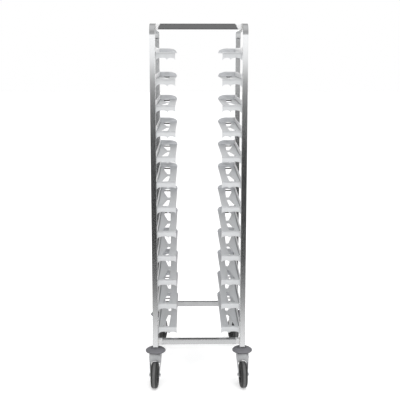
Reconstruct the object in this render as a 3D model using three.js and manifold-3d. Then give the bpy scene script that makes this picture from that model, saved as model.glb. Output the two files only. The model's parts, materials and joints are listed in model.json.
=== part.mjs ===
// Tray rack on four swivel castors: two hoops of bent square tube hold twelve
// pairs of pressed sheet-steel supports, and three crossbars tie the hoops.
// Millimetres, +Z up, front faces -Y, origin on the floor under the middle.
import * as THREE from "three";
import { mergeVertices } from "three/addons/utils/BufferGeometryUtils.js";
import Module from "manifold-3d";

const wasm = await Module();
wasm.setup();

// ---- Driving dimensions ----
const GAP = 0.3; // clearance between pieces that touch
const TUBE = 25; // side of the square tube
const WALL = 1.5; // tube wall
const TUBE_CORNER = 2; // outer corner of the tube
const WIDTH = 436; // over the hoops
const DEPTH = 540; // over the front and rear legs
const TOP = 1685; // top face of the hoops
const LEG_BOTTOM = 186; // cut end of every leg
const BEND_RADIUS = 55; // outside radius of the hoop bends
const BEND_STEPS = 8;
const FRONT_BAR_HEIGHT = 215; // centres of the two lower crossbars
const REAR_BAR_HEIGHT = 228;

const LEVELS = 12;
const LEVEL_PITCH = 116;
const LOWEST_LEVEL = 283.5; // upper face of the lowest supports
const SHEET = 1.5; // thickness of the supports
const SUPPORT_WIDTH = 87.7;
const SUPPORT_FRONT = -256;
const SUPPORT_REAR = 250;
const SIDE_FLANGE = 22; // upturned edge along the legs
const REAR_STOP = 22; // upturned edge at the back
const APRON_LEAN = 11; // degrees that the front apron is bent past square
const LIP_DEPTH = 6; // stiffening lip that bridges the rear cut-out
const LIP_PLACE = 193;
const LIP_SPAN = [20, 53];
const CREST_START = 42; // where the rear stop starts to round down
const CREST_FOOT = 3; // height that it comes down to
const CREST_STEPS = 6;
// The cut-outs, as [across, along], and the apron's lower edge, as [across, up].
const REAR_HOLE = [
  [22, 122], [22, 196], [24, 208], [29, 218], [34, 224], [40, 224],
  [45, 218], [49, 208], [51, 196], [56, -10], [53, -18], [44, -18],
];
const FRONT_HOLE = [[44, -82], [56, -82], [51, -238], [22, -238]];
const APRON_EDGE = [
  [0, -36], [3, -33], [7, -28], [14, -25], [27, -23.5], [40, -24.5], [47, -26],
  [52, -30], [57, -26], [66, -24], [76, -24.5], [83, -27], [SUPPORT_WIDTH, -31],
];

const CASTOR_TRAIL = 40; // axle behind the swivel axis
const WHEEL_RADIUS = 62.5;
const FRONT_SWIVEL = 4; // degrees that the front castors point outwards
const REAR_SWIVEL = 15; // degrees that the rear castors point inwards
const AXLE_RADIUS = 5.7;
const AXLE_HEAD = 8; // over the corners of its six-sided heads
const AXLE_HEAD_DEPTH = 3.7;
const AXLE_REACH = 27; // half its length
const PLUG_START = 4; // the stem's square plug, above the cut end of the leg
const PLUG_END = 46;
const PIN_RADIUS = 6;
const PIN_HEAD_RADIUS = 10;
const PIN_HEAD = [138, 145.4];
const BUFFER_RADIUS = 47.5;
const BUFFER_UNDER = 166;
const RACE_TOP = BUFFER_UNDER - GAP;
const HEAD_RADIUS = 28;
const CROWN_UNDER = 145.7; // under face of the fork crown, over the stem's head
const SKIRT_UNDER = 131; // lower edge of the skirt round it
const CROWN_TOP = 158;
const CHEEK = 3; // thickness of a fork cheek
const CHEEK_PLACE = 27; // middle of a cheek at the crown
const CHEEK_LEAN = 4; // degrees that the cheeks close in
const CHEEK_TIP = 14; // radius round the axle
const BOSS_RADIUS = 10;
const BOSS = [17.5, 23];
const HOOD_REACH = 36; // front wall of a free fork, over the wheel
const HOOD_UNDER = 121;
const HOOD_TOP = 156; // of its roof
const HOOD_RIM = 164.5; // of its front wall, just under the buffer
const HOOD_WALL = 2.5;
const ARCH_RADIUS = 20; // the hood is arched over the tyre
const ARCH_CENTRE = 111;
const PEDAL_PIVOT = [-20, 133]; // along and up, from the swivel axis and the floor
const PEDAL_WIDTH = 30;
const PEDAL_PIN_RADIUS = 5;
const PEDAL_PIN_LENGTH = 46;
const PEDAL_SIDE = [
  [4, 4], [4, -4], [-8, -2], [-38, 3.5], [-70, 0], [-73, 3], [-70, 6], [-40, 10.5], [-10, 9],
]; // from the pivot
const PEDAL_WAY = 23.3; // half width of the room that it needs
const ROUND_STEPS = 24;

const HALF_WIDTH = WIDTH / 2;
const HALF_DEPTH = DEPTH / 2;
const INNER_FACE = HALF_WIDTH - TUBE; // faces of the hoops towards the trays
const DEG = Math.PI / 180;

// ---- Materials ----
const steel = new THREE.MeshStandardMaterial({ color: 0xc4c6c8, roughness: 0.3, metalness: 1 });
const sheetSteel = new THREE.MeshStandardMaterial({ color: 0xd0d2d4, roughness: 0.42, metalness: 0.9 });
const zinc = new THREE.MeshStandardMaterial({ color: 0xb6b9bd, roughness: 0.4, metalness: 0.9 });
const greyPlastic = new THREE.MeshStandardMaterial({ color: 0x77787c, roughness: 0.6, metalness: 0 });
const darkPlastic = new THREE.MeshStandardMaterial({ color: 0x2c2d30, roughness: 0.55, metalness: 0 });
const rubber = new THREE.MeshStandardMaterial({ color: 0x46474a, roughness: 0.75, metalness: 0 });

// ---- Solids ----
// A closed geometry as a solid that can be joined or cut.
function solid(geometry) {
  const bare = geometry.clone();
  bare.deleteAttribute("normal");
  bare.deleteAttribute("uv");
  const merged = mergeVertices(bare, 1e-4);
  return new wasm.Manifold(
    new wasm.Mesh({
      numProp: 3,
      vertProperties: merged.attributes.position.array,
      triVerts: new Uint32Array(merged.index.array),
    }),
  );
}

function geometryOf(shape) {
  const mesh = shape.getMesh();
  const geometry = new THREE.BufferGeometry();
  geometry.setAttribute("position", new THREE.BufferAttribute(mesh.vertProperties, 3));
  geometry.setIndex(new THREE.BufferAttribute(mesh.triVerts, 1));
  geometry.computeVertexNormals();
  return geometry;
}

function join(...geometries) {
  return geometries.map(solid).reduce((whole, piece) => whole.add(piece));
}

// A box between two corners.
function box(low, high) {
  const size = high.map((value, axis) => value - low[axis]);
  const middle = high.map((value, axis) => (value + low[axis]) / 2);
  return new THREE.BoxGeometry(...size).translate(...middle);
}

// A round bar along Z between two heights.
function rod(radius, bottom, top, steps = ROUND_STEPS) {
  return new THREE.CylinderGeometry(radius, radius, top - bottom, steps)
    .rotateX(Math.PI / 2)
    .translate(0, 0, (top + bottom) / 2);
}

// A ring turned about Z from a closed profile of [radius, height] points, anticlockwise.
function turned(profile, steps = ROUND_STEPS) {
  const points = [...profile, profile[0]].map(([radius, height]) => new THREE.Vector2(radius, height));
  return new THREE.LatheGeometry(points, steps).rotateX(Math.PI / 2);
}

function outline(points) {
  return new THREE.Shape(points.map(([across, up]) => new THREE.Vector2(across, up)));
}

// ---- Square tube ----
function tubeSection() {
  const half = TUBE / 2;
  const flat = half - TUBE_CORNER;
  const bore = half - WALL;
  const corners = [];
  for (const [a, b] of [[1, 1], [-1, 1], [-1, -1], [1, -1]]) {
    const first = [a * half, b * flat];
    const second = [a * flat, b * half];
    corners.push(...(a * b > 0 ? [first, second] : [second, first]));
  }
  const section = outline(corners);
  section.holes.push(outline([[-bore, -bore], [bore, -bore], [bore, bore], [-bore, bore]]));
  return section;
}

// The centre line of a hoop, counted off in steps: leg, bend, top, bend, leg.
class HoopLine extends THREE.Curve {
  steps = 2 * BEND_STEPS + 3;

  getUtoTmapping(share) {
    return share;
  }

  getPoint(share, target = new THREE.Vector3()) {
    const radius = BEND_RADIUS - TUBE / 2;
    const reach = HALF_DEPTH - TUBE / 2;
    const height = TOP - TUBE / 2;
    const step = share * this.steps;
    const mirrored = step > this.steps / 2;
    const walked = mirrored ? this.steps - step : step;
    const angle = (THREE.MathUtils.clamp((walked - 1) / BEND_STEPS, 0, 1) * Math.PI) / 2;
    let along = reach - radius + radius * Math.cos(angle);
    let up = height - radius + radius * Math.sin(angle);
    if (walked < 1) up = THREE.MathUtils.lerp(LEG_BOTTOM, height - radius, walked);
    if (walked > BEND_STEPS + 1) {
      along = (reach - radius) * (1 - 2 * (walked - BEND_STEPS - 1));
    }
    return target.set(0, mirrored ? along : -along, up);
  }
}

function hoopGeometry() {
  const line = new HoopLine();
  return new THREE.ExtrudeGeometry(tubeSection(), { steps: line.steps, extrudePath: line });
}

function crossbarGeometry() {
  const length = 2 * (INNER_FACE - GAP);
  return new THREE.ExtrudeGeometry(tubeSection(), { depth: length, bevelEnabled: false })
    .translate(0, 0, -length / 2)
    .rotateY(Math.PI / 2);
}

// ---- Tray support ----
// Pressed from one sheet. Across is measured from the leg towards the middle of the rack.
// The plate lies at height 0; `side` is -1 for the left rail and 1 for the right one.
function supportGeometry(side) {
  const outer = INNER_FACE - GAP;
  const place = ([across, other]) => [side * (outer - across), other];
  const plate = outline(
    [[0, SUPPORT_FRONT], [SUPPORT_WIDTH, SUPPORT_FRONT], [SUPPORT_WIDTH, SUPPORT_REAR], [0, SUPPORT_REAR]]
      .map(place),
  );
  plate.holes.push(outline(REAR_HOLE.map(place)), outline(FRONT_HOLE.map(place)));
  const plateSolid = new THREE.ExtrudeGeometry(plate, { depth: SHEET, bevelEnabled: false })
    .translate(0, 0, -SHEET);

  // The front apron: two shallow arches between pointed teeth, and a gusset at the leg.
  const apron = [[0, 0], ...APRON_EDGE, [SUPPORT_WIDTH, 0]];

  // The rear stop: level over its outer half, then rounded down to the inner corner.
  const crest = [];
  for (let step = 0; step <= CREST_STEPS; step++) {
    const angle = (step / CREST_STEPS) * 90 * DEG;
    crest.push([
      CREST_START + (SUPPORT_WIDTH - CREST_START) * Math.sin(angle),
      CREST_FOOT + (REAR_STOP - CREST_FOOT) * Math.cos(angle),
    ]);
  }
  const stop = [[0, -SHEET], [0, REAR_STOP], ...crest, [SUPPORT_WIDTH, -SHEET]];

  const upright = (points, back) =>
    new THREE.ExtrudeGeometry(outline(points.map(place)), { depth: SHEET, bevelEnabled: false })
      .rotateX(Math.PI / 2)
      .translate(0, back, 0);
  const across = ([start, end]) => [side * (outer - start), side * (outer - end)].sort((a, b) => a - b);
  const [flangeLow, flangeHigh] = across([0, SHEET]);
  const [lipLow, lipHigh] = across(LIP_SPAN);
  return geometryOf(
    join(
      plateSolid,
      upright(apron, SHEET)
        .rotateX(APRON_LEAN * DEG)
        .translate(0, SUPPORT_FRONT, -SHEET * Math.sin(APRON_LEAN * DEG)),
      upright(stop, SUPPORT_REAR),
      box([flangeLow, SUPPORT_FRONT, -SHEET], [flangeHigh, SUPPORT_REAR, SIDE_FLANGE]),
      box([lipLow, LIP_PLACE, -LIP_DEPTH], [lipHigh, LIP_PLACE + SHEET, -SHEET / 2]),
    ),
  );
}

// ---- Castor ----
// Every castor is built about its own swivel axis, with the wheel trailing towards -Y.
function stemGeometry() {
  const plug = TUBE / 2 - WALL - GAP;
  return geometryOf(
    join(
      box([-plug, -plug, LEG_BOTTOM + PLUG_START], [plug, plug, LEG_BOTTOM + PLUG_END]),
      rod(PIN_RADIUS, PIN_HEAD[0] + 1, LEG_BOTTOM + PLUG_START + 1, 16),
      rod(PIN_HEAD_RADIUS, ...PIN_HEAD, 16),
    ),
  );
}

function bufferGeometry() {
  const bore = PIN_RADIUS + GAP;
  const under = BUFFER_UNDER;
  return turned([
    [bore, under],
    [BUFFER_RADIUS - 5, under],
    [BUFFER_RADIUS - 1, under + 2],
    [BUFFER_RADIUS, under + 5],
    [BUFFER_RADIUS - 2, under + 9],
    [34, under + 14],
    [22, LEG_BOTTOM - GAP],
    [bore, LEG_BOTTOM - GAP],
  ]);
}

function raceGeometry() {
  const bore = PIN_RADIUS + GAP;
  const under = CROWN_TOP + GAP;
  return turned([[bore, under], [HEAD_RADIUS - 4, under], [HEAD_RADIUS - 1, RACE_TOP], [bore, RACE_TOP]]);
}

// The outline of a cheek, as [along, up]: wide under the crown and round at the axle.
function cheekOutline() {
  const cheek = new THREE.Shape();
  cheek.moveTo(14, CROWN_TOP - 1);
  cheek.lineTo(20, 146);
  cheek.quadraticCurveTo(16, 112, -CASTOR_TRAIL + CHEEK_TIP, 60);
  cheek.absarc(-CASTOR_TRAIL, WHEEL_RADIUS, CHEEK_TIP, -10 * DEG, -170 * DEG, true);
  cheek.quadraticCurveTo(-46, 100, -HOOD_REACH, HOOD_UNDER);
  cheek.lineTo(-HOOD_REACH, HOOD_TOP - 2);
  cheek.lineTo(-HOOD_REACH + 4, CROWN_TOP - 1);
  return cheek;
}

// A wall arched over the tyre, and a roof that ties it to the crown.
function hoodGeometry() {
  const narrow = CHEEK_PLACE - (CROWN_TOP - HOOD_UNDER) * Math.tan(CHEEK_LEAN * DEG);
  const rise = HOOD_UNDER - ARCH_CENTRE;
  const arch = Math.asin(rise / ARCH_RADIUS);
  const wall = new THREE.Shape();
  wall.moveTo(-narrow, HOOD_UNDER);
  wall.absarc(0, ARCH_CENTRE, ARCH_RADIUS, Math.PI - arch, arch, true);
  wall.lineTo(narrow, HOOD_UNDER);
  wall.lineTo(CHEEK_PLACE, HOOD_TOP);
  wall.lineTo(CHEEK_PLACE, HOOD_RIM - 4);
  wall.lineTo(CHEEK_PLACE - 4, HOOD_RIM);
  wall.lineTo(4 - CHEEK_PLACE, HOOD_RIM);
  wall.lineTo(-CHEEK_PLACE, HOOD_RIM - 4);
  wall.lineTo(-CHEEK_PLACE, HOOD_TOP);
  const front = new THREE.ExtrudeGeometry(wall, { depth: HOOD_WALL, bevelEnabled: false, curveSegments: 10 })
    .rotateX(Math.PI / 2)
    .translate(0, HOOD_WALL - HOOD_REACH, 0);
  const roof = box(
    [-CHEEK_PLACE, -HOOD_REACH, HOOD_TOP - HOOD_WALL],
    [CHEEK_PLACE, -HEAD_RADIUS / 2, HOOD_TOP],
  );
  return join(front, roof);
}

// A free fork has a hood over the tyre. A braked one has none, and its skirt is cut away at
// the back, where the pedal comes through.
function forkGeometry(braked) {
  const crown = turned([
    [PIN_RADIUS + GAP, CROWN_UNDER],
    [PIN_RADIUS + 5, CROWN_UNDER],
    [PIN_RADIUS + 5, SKIRT_UNDER],
    [HEAD_RADIUS - 2, SKIRT_UNDER],
    [HEAD_RADIUS, SKIRT_UNDER + 4],
    [HEAD_RADIUS, CROWN_TOP],
    [PIN_RADIUS + GAP, CROWN_TOP],
  ]);
  const cheek = cheekOutline();
  let fork = solid(crown);
  for (const side of [-1, 1]) {
    const plate = new THREE.ExtrudeGeometry(cheek, { depth: CHEEK, bevelEnabled: false, curveSegments: 4 })
      .translate(0, 0, -CHEEK / 2)
      .rotateX(Math.PI / 2)
      .rotateZ(Math.PI / 2)
      .translate(0, 0, -CROWN_TOP)
      .rotateY(side * CHEEK_LEAN * DEG)
      .translate(side * CHEEK_PLACE, 0, CROWN_TOP);
    const boss = new THREE.CylinderGeometry(BOSS_RADIUS, BOSS_RADIUS, BOSS[1] - BOSS[0], 14)
      .rotateZ(Math.PI / 2)
      .translate((side * (BOSS[0] + BOSS[1])) / 2, -CASTOR_TRAIL, WHEEL_RADIUS);
    fork = fork.add(solid(plate)).add(solid(boss));
  }
  const axleHole = new THREE.CylinderGeometry(AXLE_RADIUS + GAP, AXLE_RADIUS + GAP, 80, 12)
    .rotateZ(Math.PI / 2)
    .translate(0, -CASTOR_TRAIL, WHEEL_RADIUS);
  const above = box([-60, -60, CROWN_TOP], [60, 60, CROWN_TOP + 40]);
  fork = fork.subtract(solid(axleHole)).subtract(solid(above));
  if (!braked) return geometryOf(fork.add(hoodGeometry()));
  const pedalRoom = box([-PEDAL_WAY, -60, SKIRT_UNDER - 5], [PEDAL_WAY, -8, CROWN_UNDER]);
  return geometryOf(fork.subtract(solid(pedalRoom)));
}

function axleGeometry() {
  return geometryOf(
    join(
      rod(AXLE_RADIUS, 1 - AXLE_REACH, AXLE_REACH - 1, 16),
      rod(AXLE_HEAD, AXLE_REACH - AXLE_HEAD_DEPTH, AXLE_REACH, 6),
      rod(AXLE_HEAD, -AXLE_REACH, AXLE_HEAD_DEPTH - AXLE_REACH, 6),
    ),
  )
    .rotateY(Math.PI / 2)
    .translate(0, -CASTOR_TRAIL, WHEEL_RADIUS);
}

function wheelPiece(profile) {
  return turned(profile)
    .rotateY(Math.PI / 2)
    .translate(0, -CASTOR_TRAIL, WHEEL_RADIUS);
}

function hubGeometry() {
  const bore = AXLE_RADIUS + GAP;
  return wheelPiece([
    [bore, -17], [13, -17], [14, -4], [39, -4], [39, -12.5], [45.7, -12.5],
    [45.7, 12.5], [39, 12.5], [39, 4], [14, 4], [13, 17], [bore, 17],
  ]);
}

function tyreGeometry() {
  return wheelPiece([
    [46, -14], [54, -15.5], [59.5, -13.5], [WHEEL_RADIUS, -7],
    [WHEEL_RADIUS, 7], [59.5, 13.5], [54, 15.5], [46, 14],
  ]);
}

// A tread plate over the wheel, on a cross tube that turns between the cheeks.
function pedalGeometry() {
  const plate = new THREE.ExtrudeGeometry(outline(PEDAL_SIDE), { depth: PEDAL_WIDTH, bevelEnabled: false })
    .translate(0, 0, -PEDAL_WIDTH / 2)
    .rotateX(Math.PI / 2)
    .rotateZ(Math.PI / 2)
    .translate(0, ...PEDAL_PIVOT);
  const pivot = new THREE.CylinderGeometry(PEDAL_PIN_RADIUS, PEDAL_PIN_RADIUS, PEDAL_PIN_LENGTH, 12)
    .rotateZ(Math.PI / 2)
    .translate(0, ...PEDAL_PIVOT);
  return geometryOf(join(plate, pivot));
}

// ---- Assembly ----
const rack = new THREE.Group();

function add(parent, name, geometry, material) {
  const mesh = new THREE.Mesh(geometry, material);
  mesh.name = name;
  parent.add(mesh);
  return mesh;
}

const sides = [["left", -1], ["right", 1]];
const hoop = hoopGeometry();
const crossbar = crossbarGeometry();

for (const [label, side] of sides) {
  add(rack, `hoop_${label}`, hoop, steel).position.x = side * (HALF_WIDTH - TUBE / 2);
}

const bars = [
  ["crossbar_top", -HALF_DEPTH + BEND_RADIUS + TUBE / 2, TOP - TUBE / 2],
  ["crossbar_front_low", -HALF_DEPTH + TUBE / 2, FRONT_BAR_HEIGHT],
  ["crossbar_rear_low", HALF_DEPTH - TUBE / 2, REAR_BAR_HEIGHT],
];
for (const [name, along, up] of bars) {
  add(rack, name, crossbar, steel).position.set(0, along, up);
}

for (const [label, side] of sides) {
  const support = supportGeometry(side);
  for (let level = 1; level <= LEVELS; level++) {
    const name = `tray_support_${label}_${String(level).padStart(2, "0")}`;
    add(rack, name, support, sheetSteel).position.z = LOWEST_LEVEL + (LEVELS - level) * LEVEL_PITCH;
  }
}

const stem = stemGeometry();
const buffer = bufferGeometry();
const race = raceGeometry();
const freeFork = forkGeometry(false);
const brakedFork = forkGeometry(true);
const axle = axleGeometry();
const hub = hubGeometry();
const tyre = tyreGeometry();
const pedal = pedalGeometry();

for (const [label, side] of sides) {
  for (const [end, front] of [["front", true], ["rear", false]]) {
    const castor = `castor_${end}_${label}`;
    const fixed = new THREE.Group();
    fixed.position.set(
      side * (HALF_WIDTH - TUBE / 2),
      (front ? -1 : 1) * (HALF_DEPTH - TUBE / 2),
      0,
    );
    add(fixed, `${castor}_stem`, stem, zinc);
    add(fixed, `${castor}_buffer`, buffer, greyPlastic);
    add(fixed, `${castor}_race`, race, zinc);
    const swivel = new THREE.Group();
    swivel.rotation.z = front ? side * FRONT_SWIVEL * DEG : Math.PI + side * REAR_SWIVEL * DEG;
    add(swivel, `${castor}_fork`, front ? freeFork : brakedFork, zinc);
    add(swivel, `${castor}_axle`, axle, zinc);
    add(swivel, `${castor}_hub`, hub, greyPlastic);
    add(swivel, `${castor}_tyre`, tyre, rubber);
    if (!front) add(swivel, `${castor}_brake_pedal`, pedal, darkPlastic);
    fixed.add(swivel);
    rack.add(fixed);
  }
}

export default rack;
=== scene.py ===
# %% [markdown]
# # A tray rack on castors
# The real rack is bent square tube, pressed sheet supports and four swivel castors with disc
# buffers. The packed CAD model gives every place and joint, so this lesson only adds looks:
# each piece is a surface worked out with numpy, placed where its CAD solid is, with a
# finish made of shader nodes.

# %% Load the frame
import json
import math

import bmesh
import bpy
import numpy as np
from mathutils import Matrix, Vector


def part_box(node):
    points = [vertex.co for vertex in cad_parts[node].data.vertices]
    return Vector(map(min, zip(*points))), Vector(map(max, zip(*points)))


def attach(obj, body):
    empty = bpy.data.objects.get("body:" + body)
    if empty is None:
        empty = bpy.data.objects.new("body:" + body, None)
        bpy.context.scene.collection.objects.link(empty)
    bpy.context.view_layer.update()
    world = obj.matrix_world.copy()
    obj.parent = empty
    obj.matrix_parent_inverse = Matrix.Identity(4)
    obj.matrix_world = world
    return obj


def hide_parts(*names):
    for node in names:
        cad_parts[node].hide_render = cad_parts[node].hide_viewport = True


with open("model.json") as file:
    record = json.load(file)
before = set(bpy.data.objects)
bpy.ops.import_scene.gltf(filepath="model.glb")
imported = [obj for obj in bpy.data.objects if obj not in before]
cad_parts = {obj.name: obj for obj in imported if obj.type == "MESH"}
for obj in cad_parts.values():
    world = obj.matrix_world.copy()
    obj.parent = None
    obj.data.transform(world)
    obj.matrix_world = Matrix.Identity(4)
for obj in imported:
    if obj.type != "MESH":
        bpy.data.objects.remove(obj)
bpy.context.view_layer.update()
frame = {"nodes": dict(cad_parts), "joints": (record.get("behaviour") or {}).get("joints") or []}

NODES = frame["nodes"]

# %% [markdown]
# The camera looks slightly down at the front, as a person standing a few steps away would.
# It comes first, because everything else is seen through it.

# %% Camera
camera_data = bpy.data.cameras.new("camera")
camera_data.sensor_width = 36
camera_data.lens = 68.07
camera = bpy.data.objects.new("camera", camera_data)
camera.location = (-0.0454, -3.660, 1.5394)
camera.rotation_euler = (math.radians(90 - 10.71), 0, math.radians(-0.85))
bpy.context.scene.collection.objects.link(camera)
bpy.context.scene.camera = camera
bpy.context.scene.view_settings.view_transform = "Standard"
print("camera", [round(value, 3) for value in camera.location])

# %% [markdown]
# Shader nodes are easier to read as sums. `Wire` holds one output socket: adding or
# multiplying wires adds the Math nodes, and `node` makes any other kind of node. It also
# understands the stops of a colour ramp.

# %% Shader wiring
class Wire:
    def __init__(self, tree, socket=None):
        self.tree = tree
        self.socket = socket

    def node(self, kind, settings=None, inputs=None, output=0):
        made = self.tree.nodes.new(kind)
        for name, value in (settings or {}).items():
            if name == "stops":
                stops = made.color_ramp.elements
                while len(stops) < len(value):
                    stops.new(0.5)
                for stop, (place, tone) in zip(stops, value):
                    stop.position = place
                    stop.color = (*tone, 1) if isinstance(tone, tuple) else (tone,) * 3 + (1,)
            else:
                setattr(made, name, value)
        for name, value in (inputs or {}).items():
            if isinstance(value, Wire):
                self.tree.links.new(value.socket, made.inputs[name])
            else:
                made.inputs[name].default_value = value
        return Wire(self.tree, made.outputs[output])

    def math(self, operation, *values):
        return self.node("ShaderNodeMath", {"operation": operation}, dict(enumerate(values)))

    def __add__(self, other):
        return self.math("ADD", self, other)

    __radd__ = __add__

    def __sub__(self, other):
        return self.math("SUBTRACT", self, other)

    def __rsub__(self, other):
        return self.math("SUBTRACT", other, self)

    def __mul__(self, other):
        return self.math("MULTIPLY", self, other)

    __rmul__ = __mul__

    def __truediv__(self, other):
        return self.math("DIVIDE", self, other)

    def step(self, start, end):
        """0 before start, 1 after end, and a smooth S between them."""
        return self.node(
            "ShaderNodeMapRange",
            {"interpolation_type": "SMOOTHSTEP"},
            {"Value": self, "From Min": start, "From Max": end},
        )

    def ramp(self, *stops):
        return self.node("ShaderNodeValToRGB", {"stops": stops}, {0: self})

    def stretched(self, vector, scale):
        return self.node("ShaderNodeVectorMath", {"operation": "MULTIPLY"}, {0: vector, 1: scale})

    def noise(self, vector, scale, detail=2.0):
        inputs = {"Vector": vector, "Scale": scale, "Detail": detail}
        return self.node("ShaderNodeTexNoise", None, inputs)

    def mixed(self, share, colour, tint, blend="MIX"):
        """The colour where share is 0 and the tint where it is 1."""
        settings = {"data_type": "RGBA", "blend_type": blend}
        return self.node("ShaderNodeMix", settings, {0: share, 6: colour, 7: tint}, output=2)

    def bump(self, height, strength, distance):
        inputs = {"Height": height, "Strength": strength, "Distance": distance}
        return self.node("ShaderNodeBump", None, inputs)

    def places(self):
        return self.node("ShaderNodeTexCoord", output="Object")

    def surface_map(self):
        return self.node("ShaderNodeUVMap", {"uv_map": "surface"})

    def parts(self, vector):
        split = self.node("ShaderNodeSeparateXYZ", None, {0: vector}).socket.node
        return [Wire(self.tree, socket) for socket in split.outputs]


def finish(name, paint, **constants):
    """A Principled material; paint(wire) returns the sockets that vary over the surface."""
    material = bpy.data.materials.new(name)
    material.use_nodes = True
    tree = material.node_tree
    shader = tree.nodes["Principled BSDF"]
    for socket, value in constants.items():
        shader.inputs[socket.replace("_", " ")].default_value = value
    for socket, wire in paint(Wire(tree)).items():
        tree.links.new(wire.socket, shader.inputs[socket])
    return material


print("wiring:", ", ".join(name for name in vars(Wire) if not name.startswith("_")))

# %% [markdown]
# The tube is drawn stainless steel: almost a mirror, with very fine lines along its length
# where it was polished. The lines follow the piece's own map (metres along and round the
# tube), so they turn with the bends. At a welded joint the bar's end is smoothed by grinding,
# which leaves a duller patch. The crossbars' colour also carries painted light: each body is
# painted darker as painted shade, its top face darker still as painted shade, and the ends
# take a tone of their own, which on the top bar is a painted highlight with slanted edges.

# %% Tube steel
TUBE_TINTS = (0.78, 0.79, 0.80), (0.88, 0.885, 0.89)


def tube_paint(wire, ground=None):
    """The last argument tells how a welded bar's ends and body differ, as ((middle, half) of the
    part along the bar that grinding left alone, slant of its ends, their height, tone of the ends,
    factor of painted shade on the body, metal). On the top bar the ends' tone is a painted
    highlight."""
    grain_map = wire.surface_map()
    lines = wire.noise(wire.stretched(grain_map, (5, 1400, 1)), 1.0, 3.0)
    clouds = wire.noise(wire.places(), 9.0, 3.0)
    rough = 0.11 + 0.04 * lines + 0.05 * clouds
    tone = clouds * 0.5 + lines * 0.5
    if ground is None:
        colour = tone.ramp((0.25, TUBE_TINTS[0]), (0.75, TUBE_TINTS[1]))
        return {"Base Color": colour, "Roughness": rough, "Normal": wire.bump(lines, 0.02, 0.0001)}
    (middle, half), slant, level, end_tone_and_highlight, body_shade, metal = ground
    # Painted shade: the body's tints are scaled down by the body factor.
    shaded_tints = [tuple(body_shade * part for part in tint) for tint in TUBE_TINTS]
    x, _, z = wire.parts(wire.places())
    wander = wire.noise(wire.places(), 60.0, 2.0)
    edge = x.math("ABSOLUTE", x - middle) + slant * (z - level) + 0.012 * wander
    end_finish_and_highlight = edge.step(half, half + 0.006)
    across = wire.parts(grain_map)[1]
    # The top face is painted near black as painted shade; the ends' own tone, mixed in last, is a
    # painted highlight on the top bar.
    top_face_shade = across.step(0.003, 0.006) - across.step(0.0225, 0.0255)
    swirls = wire.noise(wire.places(), 420.0, 2.0)
    colour = tone.ramp((0.25, shaded_tints[0]), (0.75, shaded_tints[1]))
    for share, tint in ((0.75 * top_face_shade, (0.2, 0.2, 0.205, 1)), (end_finish_and_highlight, (*end_tone_and_highlight, 1))):
        colour = wire.mixed(share, colour, tint)
    return {
        "Base Color": colour,
        "Roughness": rough + end_finish_and_highlight * (0.16 + 0.12 * swirls),
        "Metallic": metal - (metal - 0.3) * end_finish_and_highlight,
        "Normal": wire.bump(lines + end_finish_and_highlight * swirls, 0.02, 0.0001),
    }


TUBE_STEEL = finish("tube_steel", tube_paint, Metallic=1.0)
# Per crossbar: (middle, half) of the part between its ends, their slant and height, the ends' tone
# (a painted highlight on the top bar), the body's painted shade factor, and the metal.
BAR_FINISH_AND_PAINTED_LIGHT = {
    "crossbar_top": ((-0.004, 0.176), 0.5, 1.6725, (0.80, 0.80, 0.805), 0.2, 1.0),
    "crossbar_front_low": ((0.0, 0.176), 0.0, 0.215, (0.60, 0.60, 0.605), 0.8, 1.0),
    "crossbar_rear_low": ((0.0, 0.176), 0.0, 0.228, (0.76, 0.76, 0.765), 0.85, 0.6),
}
BAR_STEEL = {
    bar: finish(f"{bar}_steel", lambda wire, ground=ground: tube_paint(wire, ground))
    for bar, ground in BAR_FINISH_AND_PAINTED_LIGHT.items()
}
print("tube finishes:", TUBE_STEEL.name, *(steel.name for steel in BAR_STEEL.values()))

# %% [markdown]
# The supports are rolled sheet, not drawn tube, so they are duller: soft streaks along the
# rolling direction and faint marks from hands and trays. The piece's own map tells the
# regions apart. Over that the colour carries painted light: the side edge is painted near white
# as a painted highlight, the bend beside it is painted dark as painted shade, and the rear of
# the plate, the stop and the lip under the cut-out are painted darker as painted shade.

# %% Sheet steel
def sheet_paint(wire):
    """The map runs in metres up the apron, along the plate and up the stop, and from the top
    of the side edge across the plate. Below zero it is the lip."""
    roll = wire.noise(wire.stretched(wire.surface_map(), (700, 9, 1)), 1.0, 3.0)
    marks = wire.noise(wire.places(), 22.0, 4.0)
    rough = 0.28 + 0.02 * roll + 0.04 * marks.step(0.4, 0.75)
    tone = 0.5 * roll + 0.5 * marks
    along, across, _ = wire.parts(wire.surface_map())
    on_plate = along.step(0.036, 0.045) - along.step(0.525, 0.54)
    on_edge = across.step(-0.001, -0.0005) - across.step(0.0200, 0.0208)
    bend_shade = (across.step(0.0205, 0.0222) - across.step(0.0255, 0.031)) * on_plate
    on_stop = along.step(0.545, 0.55)
    under = 1 - across.step(-0.001, -0.0005)
    rear_shade = along.step(0.15, 0.56) * (1 - on_edge)
    colour = tone.ramp((0.2, (0.78, 0.795, 0.81)), (0.8, (0.85, 0.86, 0.87)))
    # Painted light over the sheet's tone: the rear of the plate, the stop and the bend beside the
    # side edge are painted darker as painted shade, the side edge is painted near white as a
    # painted highlight, and the lip is painted near black as painted shade.
    for share, tint in (
        (0.55 * rear_shade * (1 - on_stop), (0.62, 0.63, 0.65, 1)),
        (0.55 * on_stop, (0.34, 0.345, 0.35, 1)),
        (0.9 * bend_shade, (0.20, 0.21, 0.22, 1)),
        (on_edge, (0.96, 0.96, 0.965, 1)),
        (under, (0.03, 0.03, 0.03, 1)),
    ):
        colour = wire.mixed(share, colour, tint)
    return {
        "Base Color": colour,
        "Roughness": rough,
        "Metallic": 0.75 - 0.6 * on_edge,
        "Normal": wire.bump(roll, 0.01, 0.0001),
    }


SHEET_STEEL = finish("sheet_steel", sheet_paint)
print("sheet finish:", SHEET_STEEL.name)

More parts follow.
